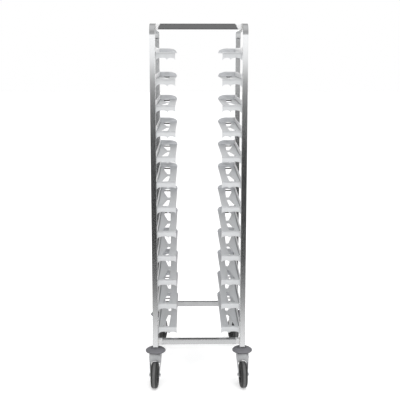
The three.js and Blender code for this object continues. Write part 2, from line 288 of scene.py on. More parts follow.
# %% [markdown]
# Castor forks are zinc plated, which dries in small cloudy flakes and scatters light more
# than steel does. Welds are brushed bright but keep a straw tint from the heat.

# %% Zinc and welds
def zinc_paint(wire):
    """Bright zinc plate: small cloudy flakes, duller where it has been handled."""
    flakes = wire.node("ShaderNodeTexVoronoi", None, {"Vector": wire.places(), "Scale": 260.0})
    clouds = wire.noise(wire.places(), 45.0, 4.0)
    rough = 0.24 + 0.14 * clouds + 0.06 * flakes
    tone = 0.75 * clouds + 0.3 * flakes
    colour = tone.ramp((0.25, (0.56, 0.57, 0.59)), (0.7, (0.76, 0.77, 0.78)))
    return {"Base Color": colour, "Roughness": rough, "Normal": wire.bump(clouds, 0.15, 0.0004)}


ZINC = finish("zinc_plate", zinc_paint, Metallic=0.95)


def weld_paint(wire):
    """A brushed weld: bright, with a straw tint left where the heat was."""
    heat = wire.noise(wire.places(), 130.0, 2.0)
    colour = heat.ramp((0.35, (0.84, 0.84, 0.84)), (0.75, (0.66, 0.62, 0.54)))
    return {"Base Color": colour, "Roughness": 0.28 + 0.2 * heat}


WELD = finish("brushed_weld", weld_paint, Metallic=0.95)
print("metal finishes:", ZINC.name, WELD.name)

# %% [markdown]
# Plastic and rubber share one recipe, because both take their grain from a mould: pebbles
# too small to see singly, under slow scuffs. Two pieces add to it. The buffer is painted darker
# under its rim and in the groove round the leg as painted shade, and the tread is grey where it has
# rolled.

# %% Plastic and rubber
def moulded(dark, light, grain, rough):
    """Moulded plastic or rubber: a fine pebble grain and slow cloudy scuffs."""
    def paint(wire):
        pebbles = wire.noise(wire.places(), grain, 3.0)
        scuffs = wire.noise(wire.places(), 30.0, 4.0)
        colour = (0.4 * pebbles + 0.6 * scuffs).ramp((0.3, dark), (0.72, light))
        return {
            "Base Color": colour,
            "Roughness": rough + 0.16 * scuffs,
            "Normal": wire.bump(pebbles, 0.25, 0.0003),
        }
    return paint


HUB_PLASTIC = finish("hub_plastic", moulded((0.022,) * 3, (0.045,) * 3, 900.0, 0.42))
PEDAL_PLASTIC = finish("pedal_plastic", moulded((0.012,) * 3, (0.03,) * 3, 1100.0, 0.4))


def buffer_paint(wire):
    """Grey moulded disc: the map's second number runs over the profile, rim at 0."""
    base = moulded((0.12, 0.12, 0.13), (0.165, 0.165, 0.178), 800.0, 0.42)(wire)
    profile = wire.parts(wire.surface_map())[1]
    # Painted shade: the lower part of the rim at half tone, and the collar round the leg and the
    # flat underside darker still.
    shade = 0.5 + 0.5 * profile.step(0.005, 0.009) - 0.55 * profile.step(0.037, 0.044)
    grey = shade.ramp((0, 0.0), (1, 1.0))
    base["Base Color"] = wire.mixed(1.0, base["Base Color"], grey, "MULTIPLY")
    return base


BUFFER_PLASTIC = finish("buffer_plastic", buffer_paint)


def tyre_paint(wire):
    """Rubber: the tread that has rolled on floors is greyer than the walls."""
    base = moulded((0.016,) * 3, (0.030,) * 3, 700.0, 0.45)(wire)
    across = wire.parts(wire.surface_map())[1]
    worn = across.step(-0.0075, -0.004) - across.step(0.004, 0.0075)
    dust = wire.noise(wire.places(), 90.0, 4.0)
    floor_grey = (0.125, 0.125, 0.127, 1)
    base["Base Color"] = wire.mixed(worn * (0.45 + 0.5 * dust), base["Base Color"], floor_grey)
    return base


TYRE_RUBBER = finish("tyre_rubber", tyre_paint)
print("finishes:", len(bpy.data.materials))

# %% [markdown]
# Every new piece is a grid of points: rows along the piece, columns round it. `grid_mesh`
# joins neighbours into quads, closes the grid on itself where asked, leaves out the
# cells that are holes, and writes the piece's own map in metres.

# %% From a grid to a piece
def grid_mesh(points, along, across, wrap_rows=False, wrap_columns=False, keep=None):
    """Quads between the neighbours of a (rows, columns, 3) array.
    along and across hold the map's two numbers, one more than the rows or columns of a wrap."""
    rows, columns = points.shape[:2]
    i, j = np.meshgrid(
        np.arange(rows if wrap_rows else rows - 1),
        np.arange(columns if wrap_columns else columns - 1),
        indexing="ij",
    )
    if keep is not None:
        i, j = i[keep], j[keep]
    i, j = i.ravel(), j.ravel()
    corner_i = np.stack([i, i + 1, i + 1, i], axis=1)
    corner_j = np.stack([j, j, j + 1, j + 1], axis=1)
    faces = (corner_i % rows) * columns + corner_j % columns
    mapped = np.stack([np.asarray(along)[corner_i], np.asarray(across)[corner_j]], axis=2)
    return points.reshape(-1, 3), faces, mapped.reshape(-1, 2)


def joined(*parts):
    """Several (points, faces, map) in one, each part's faces counted on from the last."""
    starts = np.cumsum([0] + [len(part[0]) for part in parts[:-1]])
    return (
        np.concatenate([part[0] for part in parts]),
        np.concatenate([part[1] + start for part, start in zip(parts, starts)]),
        np.concatenate([part[2] for part in parts]),
    )


def mesh_of(name, shape, sharp=40.0, solidify=0.0, bevel=0.0):
    """A closed mesh, faces out. solidify gives a sheet its thickness, half to each side."""
    points, faces, mapped = shape
    mesh = bpy.data.meshes.new(name)
    mesh.from_pydata(points.tolist(), [], faces.tolist())
    mesh.uv_layers.new(name="surface").data.foreach_set("uv", mapped.astype(np.float32).ravel())
    scratch = bmesh.new()
    scratch.from_mesh(mesh)
    bmesh.ops.remove_doubles(scratch, verts=scratch.verts, dist=2e-6)
    bmesh.ops.dissolve_degenerate(scratch, edges=scratch.edges, dist=1e-6)
    loose = [vertex for vertex in scratch.verts if not vertex.link_faces]
    bmesh.ops.delete(scratch, geom=loose, context="VERTS")
    bmesh.ops.recalc_face_normals(scratch, faces=scratch.faces)
    scratch.to_mesh(mesh)
    scratch.free()
    if solidify or bevel:
        maker = bpy.data.objects.new(name, mesh)
        bpy.context.scene.collection.objects.link(maker)
        if solidify:
            thick = maker.modifiers.new("thickness", "SOLIDIFY")
            thick.thickness = solidify
            thick.offset = 0
            thick.use_even_offset = True
        if bevel:
            soft = maker.modifiers.new("edges", "BEVEL")
            soft.width = bevel
            soft.segments = 2
            soft.limit_method = "ANGLE"
            soft.angle_limit = math.radians(50)
        evaluated = maker.evaluated_get(bpy.context.evaluated_depsgraph_get())
        finished = bpy.data.meshes.new_from_object(evaluated)
        bpy.data.objects.remove(maker)
        mesh = finished
    mesh.polygons.foreach_set("use_smooth", np.ones(len(mesh.polygons), bool))
    mesh.set_sharp_from_angle(angle=math.radians(sharp))
    return mesh


def piece(name, mesh, material, slot, body, *nodes):
    """An object with its material, the body it rides on and the CAD nodes it stands for."""
    mesh.materials.clear()
    mesh.materials.append(material)
    made = bpy.data.objects.new(name, mesh)
    bpy.context.scene.collection.objects.link(made)
    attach(made, body)
    if nodes:
        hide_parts(*nodes)
    return made


def rounded(corners, radius, steps=3):
    """A closed outline with each corner C replaced by the curve (1-t)^2 A + 2t(1-t) C + t^2 B,
    where A and B lie a radius away from it on its two sides."""
    corners = np.asarray(corners, float)
    before, after = np.roll(corners, 1, 0), np.roll(corners, -1, 0)
    length_before = np.linalg.norm(before - corners, axis=1, keepdims=True)
    length_after = np.linalg.norm(after - corners, axis=1, keepdims=True)
    start = corners + (before - corners) * np.minimum(radius / length_before, 0.45)
    end = corners + (after - corners) * np.minimum(radius / length_after, 0.45)
    t = np.linspace(0, 1, steps + 1)[None, :, None]
    pulled = 2 * t * (1 - t) * corners[:, None]
    curve = (1 - t) ** 2 * start[:, None] + pulled + t**2 * end[:, None]
    return curve.reshape(-1, 2)


def walked(points):
    """Distance walked along a line of points, with the way back to the first one added."""
    legs = np.linalg.norm(np.diff(np.concatenate([points, points[:1]]), axis=0), axis=1)
    return np.concatenate([[0], np.cumsum(legs)])


tools = grid_mesh, joined, mesh_of, piece, rounded, walked
print("grid tools:", *(tool.__name__ for tool in tools))

# %% [markdown]
# A square tube is its outline carried along a centre line. Two outlines a wall apart, the
# outer one run forwards and the inner one back, close on each other at the cut ends.

# %% Square tube
TUBE_HALF = 0.0125
TUBE_WALL = 0.0015
TUBE_CORNER, BORE_CORNER = 0.0024, 0.0009
BEND_RADIUS = 0.0425  # of the centre line
FLAT_MARGIN = 0.0006  # from a corner's round to the spare point on the flat
LEG_POINTS = 8
TOP_HALFWAY = -0.1  # a spare point on the top run
BAR_POINTS = 9


def square_outline(half, corner):
    """A square with round corners, and a spare point beside each so that the flats stay flat."""
    steps = np.linspace(0, math.pi / 2, 6)
    arc = np.stack([np.cos(steps), np.sin(steps)], axis=1) * corner + (half - corner)
    near = half - corner - FLAT_MARGIN
    quarter = np.concatenate([[[half, near]], arc, [[near, half]]])
    turns = [np.array([[c, -s], [s, c]]) for c, s in ((1, 0), (0, 1), (-1, 0), (0, -1))]
    return np.concatenate([quarter @ turn.T for turn in turns])


def tube(centres, side, normals):
    """Point = centre + a * side + b * normal, for each (a, b) of the outline."""
    outer = square_outline(TUBE_HALF, TUBE_CORNER)
    inner = square_outline(TUBE_HALF - TUBE_WALL, BORE_CORNER)

    def carried(outline):
        return (
            centres[:, None]
            + outline[None, :, :1] * side[None, None]
            + outline[None, :, 1:] * normals[:, None]
        )

    rings = np.concatenate([carried(outer), carried(inner)[::-1]])
    steps = np.linalg.norm(np.diff(centres, axis=0), axis=1)
    way = np.concatenate([[0], np.cumsum(steps)])
    along = np.concatenate([way, way[-1] - way + way[-1], [2 * way[-1]]])
    return grid_mesh(rings, along, walked(outer), wrap_rows=True, wrap_columns=True)


def hoop_line(low, high, reach):
    """Up the front leg, round a quarter circle, along the top, round again and down."""
    turn = np.linspace(0, math.pi / 2, 17)
    leg = np.linspace(low, high - BEND_RADIUS, LEG_POINTS)
    front = np.stack([np.full(LEG_POINTS, -reach), leg], axis=1)
    bend_y = -reach + BEND_RADIUS * (1 - np.cos(turn))
    bend_z = high - BEND_RADIUS * (1 - np.sin(turn))
    bend = np.stack([bend_y, bend_z], axis=1)
    half = np.concatenate([front[:-1], bend, [[TOP_HALFWAY, high]]])
    up_the_leg = np.tile([[0.0, 1.0]], (LEG_POINTS - 1, 1))
    round_the_bend = np.stack([np.sin(turn), np.cos(turn)], axis=1)
    tangent_half = np.concatenate([up_the_leg, round_the_bend, [[1.0, 0.0]]])
    back = half[::-1] * [-1, 1]
    tangent_back = tangent_half[::-1] * [1, -1]
    flat = np.concatenate([half, back])
    tangent = np.concatenate([tangent_half, tangent_back])
    centres = np.stack([np.zeros(len(flat)), flat[:, 0], flat[:, 1]], axis=1)
    normals = np.stack([np.zeros(len(flat)), -tangent[:, 1], tangent[:, 0]], axis=1)
    return centres, normals


for side_name in ("left", "right"):
    low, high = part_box(f"hoop_{side_name}")
    centres, normals = hoop_line(low[2], high[2] - TUBE_HALF, high[1] - TUBE_HALF)
    centres[:, 0] = (low[0] + high[0]) / 2
    hoop = mesh_of(f"hoop_{side_name}_tube", tube(centres, np.array([1.0, 0, 0]), normals), 50)
    piece(hoop.name, hoop, TUBE_STEEL, "frame_steel", "frame", f"hoop_{side_name}")
print("hoop points", len(hoop.vertices))

BAR_ENDS = []
for bar_name in ("crossbar_top", "crossbar_front_low", "crossbar_rear_low"):
    low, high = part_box(bar_name)
    middle = [(a + b) / 2 for a, b in zip(low, high)]
    centres = np.tile(middle, (BAR_POINTS, 1))
    centres[:, 0] = np.linspace(low[0], high[0], BAR_POINTS)
    normals = np.tile([[0.0, 0.0, 1.0]], (BAR_POINTS, 1))
    bar = mesh_of(f"{bar_name}_tube", tube(centres, np.array([0, 1.0, 0]), normals), 50)
    piece(bar.name, bar, BAR_STEEL[bar_name], "frame_steel", "frame", bar_name)
    BAR_ENDS += [(sign, middle[1], middle[2]) for sign in (-1, 1)]
print("crossbar ends", len(BAR_ENDS))

# %% [markdown]
# A support is pressed from one sheet: a plate, an apron bent down at the front, a stop bent
# up at the back and a side edge bent up along the legs. So one grid holds it all. Rows go
# up the apron, over the plate and up the stop; columns go down the side edge and across
# the plate. The columns lean so that two of them run along the cut-outs' edges, and the
# cells between those are left out. Millimetres here, metres at the end.

# %% Tray support
SUPPORT_WIDE = 87.7
FRONT_PLANE, REAR_PLANE = -255.25, 249.25  # middle of the sheet
FOLD = 2.0  # radius of the middle of the sheet in each bend
SHEET_HALF = 0.75
APRON_LEAN = math.tan(math.radians(11))  # the apron is bent past square
SIDE_EDGE_HIGH = 22
EDGE_START = 0.3  # apron and stop begin here, beside the leg
FRONT_HOLE = (-238, -82)
REAR_HOLE = (-18, 224)
# at each end of a cut-out: the length and the depth of its round corners
HOLE_CORNERS = {
    FRONT_HOLE[0]: (3.0, 3.0),
    FRONT_HOLE[1]: (2.5, 2.5),
    REAR_HOLE[0]: (2.5, 2.5),
    REAR_HOLE[1]: (28.0, 11.5),
}
INNER_COLUMNS, HOLE_COLUMNS, OUTER_COLUMNS = 5, 7, 8
STOP_HIGH, STOP_CORNER_HIGH = 22, 3
STOP_ROUND_FROM = 42
LIP_PLACE = 193.75
LIP_SPAN = (21, 52)
LIP_HEIGHTS = (-1.2, -3.5, -7.0)


def hole_ends(near, far):
    """Row places that crowd towards both ends of a cut-out, for its round corners."""
    turn = np.linspace(0, math.pi / 2, 6)
    first = near + HOLE_CORNERS[near][0] * (1 - np.cos(turn))
    last = far - HOLE_CORNERS[far][0] * (1 - np.cos(turn))
    return np.concatenate([first, np.linspace(first[-1], last[-1], 7)[1:-1], last[::-1]])


def hole_edges(y):
    """Across-places of the cut-outs' two edges at each row, with round corners: near an end
    each edge is pulled in by b(1 - sqrt(1 - (1 - d/a)^2)), where d is the distance to the end
    and a and b are the corner's length and depth."""
    inner = np.interp(y, [*FRONT_HOLE, REAR_HOLE[0], 122], [22, 44, 44, 22])
    outer = np.interp(y, [*FRONT_HOLE, -10, 200], [51, 56, 56, 51])
    pulled = np.zeros_like(y)
    for end, (length, depth) in HOLE_CORNERS.items():
        into = 1 if end in (FRONT_HOLE[0], REAR_HOLE[0]) else -1
        away = (y - end) * into / length
        bow = depth * (1 - np.sqrt(np.clip(1 - (1 - away) ** 2, 0, 1)))
        pulled = np.where((away >= 0) & (away <= 1), bow, pulled)
    return inner + pulled, outer - pulled


def apron_depth(across):
    """Two shallow arches between pointed teeth, and a gusset down the leg."""
    places = [0, 3, 7, 14, 27, 40, 47, 51, 55.6, 62, 76, 83, SUPPORT_WIDE]
    depths = [36, 33, 28, 25, 23.5, 24.5, 26.5, 33, 27, 24, 24.5, 27.5, 33.5]
    return np.interp(across, places, depths)


def stop_height(across):
    """Level over its outer half, then a quarter circle down to the inner corner."""
    share = np.clip((across - STOP_ROUND_FROM) / (SUPPORT_WIDE - STOP_ROUND_FROM), 0, 1)
    return STOP_CORNER_HIGH + (STOP_HIGH - STOP_CORNER_HIGH) * np.sqrt(1 - share**2)


def columns_between(left, right, count):
    """count columns spread evenly from left to right, which are one place for each row."""
    return left[:, None] + (right - left)[:, None] * np.linspace(0, 1, count + 1)[None]


def rows_at(y, z, across):
    """Rows of points whose y and z are spread over the columns."""
    y, z = np.broadcast_to(y, across.shape), np.broadcast_to(z, across.shape)
    return np.stack([across, y, z], 2)


def distance_along(points):
    steps = np.linalg.norm(np.diff(points, axis=0), axis=1)
    return np.concatenate([[0], np.cumsum(steps)])


def support_shape():
    """The plate is worked out first, because the columns of every other part follow its own."""
    turn = np.linspace(0, math.pi / 2, 5)
    plate_y = np.concatenate([
        [FRONT_PLANE + FOLD, -246], hole_ends(*FRONT_HOLE), [-66, -50, -34],
        hole_ends(*REAR_HOLE), [232, 240, REAR_PLANE - FOLD],
    ])
    inner, outer = hole_edges(plate_y)
    start = SHEET_HALF + FOLD
    plate_across = np.concatenate([
        columns_between(np.full_like(inner, start), inner, INNER_COLUMNS),
        columns_between(inner, outer, HOLE_COLUMNS)[:, 1:],
        columns_between(outer, np.full_like(outer, SUPPORT_WIDE), OUTER_COLUMNS)[:, 1:],
    ], axis=1)

    edge = plate_across[0].copy()
    edge[0] = EDGE_START
    hang = np.linspace(1, 0, 5)[:, None]
    apron_z = -start - hang * (apron_depth(edge)[None] - start)
    apron_y = FRONT_PLANE + APRON_LEAN * (-start - apron_z)
    apron = rows_at(apron_y, apron_z, np.tile(edge, (5, 1)))
    front_fold = rows_at(
        (FRONT_PLANE + FOLD - FOLD * np.cos(turn))[1:-1, None],
        (-start + FOLD * np.sin(turn))[1:-1, None],
        np.tile(plate_across[0], (3, 1)),
    )
    plate = rows_at(plate_y[:, None], np.array(-SHEET_HALF), plate_across)
    rear_fold = rows_at(
        (REAR_PLANE - FOLD + FOLD * np.sin(turn))[1:, None],
        (-SHEET_HALF + FOLD * (1 - np.cos(turn)))[1:, None],
        np.tile(plate_across[-1], (4, 1)),
    )
    rise = np.linspace(0, 1, 5)[1:, None]
    foot = FOLD - SHEET_HALF
    last = plate_across[-1].copy()
    last[0] = EDGE_START
    stop_z = foot + rise * (np.maximum(stop_height(last), foot + 0.5)[None] - foot)
    stop = rows_at(np.array(REAR_PLANE), stop_z, np.tile(last, (4, 1)))
    main = np.concatenate([apron, front_fold, plate, rear_fold, stop])

    unbend = turn[::-1][1:-1]
    side_across = np.concatenate([np.full(3, SHEET_HALF), start - FOLD * np.sin(unbend)])
    side_z = np.concatenate([[SIDE_EDGE_HIGH, 12, foot], foot - FOLD * np.cos(unbend)])
    first = len(apron) + len(front_fold)
    side = np.full((len(main), len(side_across), 3), np.nan)
    side[..., 0] = side_across
    side[..., 1] = main[:, :1, 1]
    side[..., 2] = side_z
    points = np.concatenate([side, main], axis=1)

    row, column = np.indices((len(points) - 1, points.shape[1] - 1))
    row_y = np.concatenate([np.full(first, -999.0), plate_y, np.full(8, 999.0)])
    middle_y = (row_y[row] + row_y[row + 1]) / 2
    in_hole = ((middle_y > FRONT_HOLE[0]) & (middle_y < FRONT_HOLE[1])) | (
        (middle_y > REAR_HOLE[0]) & (middle_y < REAR_HOLE[1])
    )
    hole_first = len(side_across) + INNER_COLUMNS
    in_hole &= (column >= hole_first) & (column < hole_first + HOLE_COLUMNS)
    on_side = column < len(side_across)
    off_plate = (row < first) | (row >= first + len(plate_y) - 1)
    keep = ~(in_hole | (on_side & off_plate))

    along = distance_along(points[:, -1])
    across = distance_along(points[first + len(plate_y) // 2])
    sheet = grid_mesh(points / 1000, along / 1000, across / 1000, keep=keep)

    lip_across = np.linspace(*LIP_SPAN, 7)
    lip_z = np.array(LIP_HEIGHTS)
    lip = rows_at(np.array(LIP_PLACE), lip_z[None], np.tile(lip_across[:, None], (1, 3)))
    hung = grid_mesh(lip / 1000, lip_across / 1000, lip_z / 1000)
    return joined(sheet, hung)


def set_down(mesh, name, turn_over, offset):
    """A copy of the mesh moved by offset, with x turned over first where asked."""
    copy = mesh.copy()
    copy.name = name
    points = np.empty(len(copy.vertices) * 3, np.float32)
    copy.vertices.foreach_get("co", points)
    points = points.reshape(-1, 3) * [-1 if turn_over else 1, 1, 1] + offset
    copy.vertices.foreach_set("co", points.astype(np.float32).ravel())
    if turn_over:
        copy.flip_normals()
    copy.update()
    return copy


LEVELS = 12
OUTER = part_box("tray_support_right_01")[1][0]
support = mesh_of("support", support_shape(), 40, solidify=2 * SHEET_HALF / 1000, bevel=0.0003)
for level in range(1, LEVELS + 1):
    for side_name, side in (("left", -1), ("right", 1)):
        node = f"tray_support_{side_name}_{level:02d}"
        plate_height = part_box(node)[1][2] - SIDE_EDGE_HIGH / 1000
        offset = [side * OUTER, 0, plate_height]
        made = set_down(support, f"{node}_sheet", side > 0, offset)
        piece(made.name, made, SHEET_STEEL, "support_steel", "frame", node)
print("supports", 2 * LEVELS, "of", len(support.polygons), "faces each")

# %% [markdown]
# The rack is welded, then brushed. A bead is a small circle carried along a line, swelling
# and shrinking a little with each drop of the weld.

# %% Welds
BEAD_POINTS = 120
BAR_WELD_PLACE, EDGE_WELD_PLACE = 0.1926, 0.1924  # from the middle of the rack
EDGE_WELDS = (-0.2555, -0.2462), (0.2462, 0.2495)  # over the front leg and the rear one


def bead(line, radius, closed=False, drops=0.0022):
    """A circle of radius r(1 + 0.12 cos(2 pi s / drop)) carried along a line, s walked."""
    line = np.asarray(line, float)
    ahead, behind = np.roll(line, -1, 0), np.roll(line, 1, 0)
    if not closed:
        ahead[-1], behind[0] = line[-1], line[0]
    forward = ahead - behind
    forward /= np.linalg.norm(forward, axis=1, keepdims=True)
    up = np.where(np.abs(forward[:, :1]) > 0.9, [[0.0, 0, 1]], [[1.0, 0, 0]])
    right = np.cross(forward, up)
    right /= np.linalg.norm(right, axis=1, keepdims=True)
    up = np.cross(right, forward)
    way = distance_along(line)
    size = radius * (1 + 0.12 * np.cos(2 * math.pi * way / drops))
    if not closed:
        share = way / way[-1]
        size = size * np.sqrt(np.clip(4 * share * (1 - share) * 3, 0, 1))
    turn = np.linspace(0, 2 * math.pi, 9)[:-1]
    ring = (
        np.cos(turn)[None, :, None] * right[:, None] + np.sin(turn)[None, :, None] * up[:, None]
    ) * size[:, None, None]
    along = np.append(way, way[-1] + drops)
    return grid_mesh(line[:, None] + ring, along, np.append(turn, 2 * math.pi) * radius,
                     wrap_rows=closed, wrap_columns=True)


def bar_bead(sign, y, z):
    """Round the end of a crossbar, sunk so that only a fillet shows."""
    loop = rounded(np.array([[1, 1], [-1, 1], [-1, -1], [1, -1]]) * 0.0120, 0.003, 6)
    share = np.linspace(0, 1, BEAD_POINTS, endpoint=False) * walked(loop)[-1]
    closed_loop = np.concatenate([loop, loop[:1]])
    a = np.interp(share, walked(loop), closed_loop[:, 0])
    b = np.interp(share, walked(loop), closed_loop[:, 1])
    line = np.stack([np.full(BEAD_POINTS, sign * BAR_WELD_PLACE), y + a, z + b], axis=1)
    return bead(line, 0.0016, closed=True)


beads = mesh_of("crossbar_welds", joined(*[bar_bead(*end) for end in BAR_ENDS]), 60)
piece("crossbar_welds", beads, WELD, "frame_steel", "frame")

edge_beads = []
for level in range(1, LEVELS + 1):
    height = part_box(f"tray_support_right_{level:02d}")[1][2]
    for side in (-1, 1):
        for ends in EDGE_WELDS:
            line = np.tile([side * EDGE_WELD_PLACE, 0, height + 0.0002], (16, 1))
            line[:, 1] = np.linspace(*ends, 16)
            edge_beads.append(bead(line, 0.0011))
side_welds = mesh_of("support_welds", joined(*edge_beads), 60)
piece("support_welds", side_welds, WELD, "support_steel", "frame")
print("weld points", len(beads.vertices) + len(side_welds.vertices))

# %% [markdown]
# The castor's round pieces are turned, as on a lathe: an outline of (radius, height) pairs
# is carried round the axis. Everything is worked out about the castor's own swivel axis with
# the wheel trailing towards -Y, then swung to its angle and moved under its leg. The buffer
# and the ball race lie round the stem.

# %% Turned pieces
TRAIL = 40.0
AXLE_HEIGHT = 62.5
CROWN_HEIGHT = 158.0
CHEEK_PLACE = 26.8  # middle of a cheek at the crown
CHEEK_SLOPE = math.tan(math.radians(4))
STEM_BORE = 6.3
TYRE_RADIUS = 62.5


def turned(outline, steps=64, shape=None):
    """Point = (r cos t, r sin t, h). shape(r, h, t) may change r and h on the way round."""
    t = np.linspace(0, 2 * math.pi, steps, endpoint=False)[:, None]
    radius = np.broadcast_to(outline[None, :, 0], (steps, len(outline)))
    height = np.broadcast_to(outline[None, :, 1], (steps, len(outline)))
    if shape is not None:
        radius, height = shape(radius, height, t)
    points = np.stack([radius * np.cos(t), radius * np.sin(t), height], axis=2)
    way = np.linspace(0, 2 * math.pi, steps + 1) * outline[:, 0].max() / 1000
    return points, way


def turned_shape(outline, steps=64, shape=None, across=None, sideways=False):
    points, way = turned(outline, steps, shape)
    if across is None:
        across = walked(outline) / 1000
    if sideways:
        points = points[..., [2, 1, 0]] * [1, 1, -1] + [0, -TRAIL, AXLE_HEIGHT]
    return grid_mesh(points / 1000, way, across, wrap_rows=True, wrap_columns=True)


def buffer_shape():
    """Flat below, a round rim, a shallow dome on top and a low collar round the leg."""
    dome_r = np.linspace(45.2, 25.5, 9)
    dome = np.stack([dome_r, 183.6 - 8.8 * ((dome_r - 23.5) / 22) ** 1.7], axis=1)
    rim_t = np.linspace(-math.pi / 2, math.pi * 0.36, 9)
    rim = np.stack([42.9 + 4.6 * np.cos(rim_t), 170.6 + 4.6 * np.sin(rim_t)], axis=1)
    collar = [[23.2, 182.6], [22.6, 184.6], [21.4, 185.6], [18, 185.7], [STEM_BORE, 185.7]]
    below = [[STEM_BORE, 166.0], [20, 166.0], [34, 166.0], [38, 166.4]]
    outline = np.concatenate([rim, dome[1:], collar, below])
    return turned_shape(outline, 72)


def race_shape():
    low, high = 158.3, 165.7
    outline = [
        [STEM_BORE, low], [24, low], [27, low + 2.2], [27, high - 2.2], [24, high],
        [STEM_BORE, high],
    ]
    return turned_shape(rounded(outline, 1.2), 48)


print("turned pieces take", len(turned(np.eye(2), 64)[0]), "steps round")

# %% [markdown]
# A wheel is a rubber tyre on a plastic hub, so that either can be made and worn out alone.
# The hub is mostly web, stiffened by ribs, and turns on an axle with a six-sided head.

# %% Wheel and axle
def tyre_shape():
    """Round shoulders, an almost flat tread and a thin moulding seam round the middle."""
    half = np.array([
        [TYRE_RADIUS, 0.0], [62.2, 0.5], [62.2, 1.2], [62.15, 4], [61.8, 7.5], [60.8, 10.5],
        [58.6, 13.2], [55.5, 14.9], [52, 15.4], [49, 15.0], [46.6, 14.2], [46.1, 13.2],
    ])
    outline = np.concatenate([half, half[:0:-1] * [1, -1]])
    across = np.append(outline[:, 1], 0.0) / 1000
    return turned_shape(outline, 96, across=across, sideways=True)


def hub_shape():
    """A rim, a thin web and a sleeve, with five ribs that swell the web on both sides."""
    half = np.array([
        [46, 12.5], [43, 13.0], [40, 12.6], [39.2, 11.5], [38.5, 5.5], [37, 4.3], [30, 4.0],
        [22, 4.0], [16, 4.4], [14.4, 6], [13.6, 15.5], [12.6, 17.0], [8, 17.0], [6.2, 16.6],
    ])
    outline = np.concatenate([half, half[::-1] * [1, -1]])

    def ribs(radius, height, t):
        on_web = (radius > 15) & (radius < 38.8)
        swell = np.clip((np.cos(5 * t) - 0.82) / 0.12, 0, 1)
        swell = swell * swell * (3 - 2 * swell)
        return radius, height + np.sign(height) * np.where(on_web, 5.5, 0) * swell

    return turned_shape(outline, 160, ribs, sideways=True)


def axle_shape():
    """A pin with a six-sided head at each end: r grows to h / cos(angle from the flat)."""
    half = np.array([
        [0, 27], [5.5, 27], [6.7, 26.4], [6.9, 25.5], [6.9, 23.6], [5.7, 23.3],
    ])
    outline = np.concatenate([half, [[5.7, 0]], half[::-1] * [1, -1]])

    def six_sided(radius, height, t):
        away = np.mod(t, math.pi / 3) - math.pi / 6
        return np.where(radius > 6, radius / np.cos(away), radius), height

    return turned_shape(outline, 48, six_sided, sideways=True)


print("wheel", 2 * TYRE_RADIUS, "mm across, its axle", AXLE_HEIGHT, "mm up and", TRAIL, "mm behind")

# %% [markdown]
# The fork is pressed from thick sheet, so one grid can hold both cheeks and the crown: rows
# run up one cheek, over the crown and down the other. A free castor has a hood over its
# tyre; a braked one leaves that room to the pedal. Small turned pieces finish it: the
# swivel housing under the crown and the bosses that the axle passes through.

# %% Fork
TIP_RADIUS = 12.5
CHEEK_TOP = 149
CROWN_RADIUS = 27.4
HOOD_BACK = 35.6  # rear edge of the cheeks where they meet the hood
HOOD_PLACE = -34.7  # middle of the hood's wall
HOOD_BEND = 3
FRONT_EDGE = (62.5, 82, 100, 120, 135, 144, 150), (-27.5, -14, 1.0, 12.5, 17.5, 20, 18)
BACK_EDGE = (62.5, 78.8, 95.2, 109.3, 121, 150), (-53.0, -49.4, -45, -40.5, -HOOD_BACK, -HOOD_BACK)


def over_the_top(half):
    """Rows from one cheek's tip to the middle of the crown, followed by the way back."""
    return np.concatenate([half, half[-2::-1]])


def fork_shape(braked):
    """Columns go from the front edge to the back edge, whose places are functions of the row.
    The tip of a cheek is a half circle about the axle, y = +-sqrt(r^2 - (z - axle)^2)."""
    lower_t = np.linspace(0, math.pi / 2, 7)
    end_z = AXLE_HEIGHT - TIP_RADIUS * np.cos(lower_t)
    upper_z = [72, 79, 87, 95, 102, 109, 115, 121, 130, 138, 144, CHEEK_TOP]
    cheek_z = np.concatenate([end_z, upper_z])
    lean = CHEEK_PLACE - (CROWN_HEIGHT - cheek_z) * CHEEK_SLOPE
    front = np.interp(cheek_z, *FRONT_EDGE)
    back = np.interp(cheek_z, *BACK_EDGE)
    tip = cheek_z < AXLE_HEIGHT
    below = (AXLE_HEIGHT - cheek_z) / TIP_RADIUS
    half = TIP_RADIUS * np.sqrt(np.clip(1 - below**2, 0, 1))
    front = np.where(tip, -TRAIL + half, front)
    back = np.where(tip, -TRAIL - half, back)
    bend = np.linspace(0, math.pi / 2, 6)[1:]
    bend_x, bend_z = lean[-1] - 5 + 5 * np.cos(bend), CHEEK_TOP + 5.4 * np.sin(bend)
    crown_x = np.linspace(bend_x[-1], 0, 6)[1:]
    x = np.concatenate([lean, bend_x, crown_x])
    z = np.concatenate([cheek_z, bend_z, np.full(5, bend_z[-1])])
    reach = np.sqrt(np.clip(CROWN_RADIUS**2 - np.concatenate([bend_x, crown_x]) ** 2, 0, None))
    reach = np.maximum(reach, 16)
    front = np.concatenate([front, reach])
    back = np.concatenate([back, -reach if braked else np.full(len(reach), -HOOD_BACK)])
    x = np.concatenate([x, -x[-2::-1]])
    z, front, back = over_the_top(z), over_the_top(front), over_the_top(back)
    share = np.linspace(0, 1, 9)[None]
    y = front[:, None] + (back - front)[:, None] * share
    points = np.stack([np.tile(x[:, None], (1, 9)), y, np.tile(z[:, None], (1, 9))], axis=2)
    way = np.append(0, np.cumsum(np.hypot(np.diff(x), np.diff(z)))) / 1000
    return grid_mesh(points / 1000, way, share[0] * 0.04)


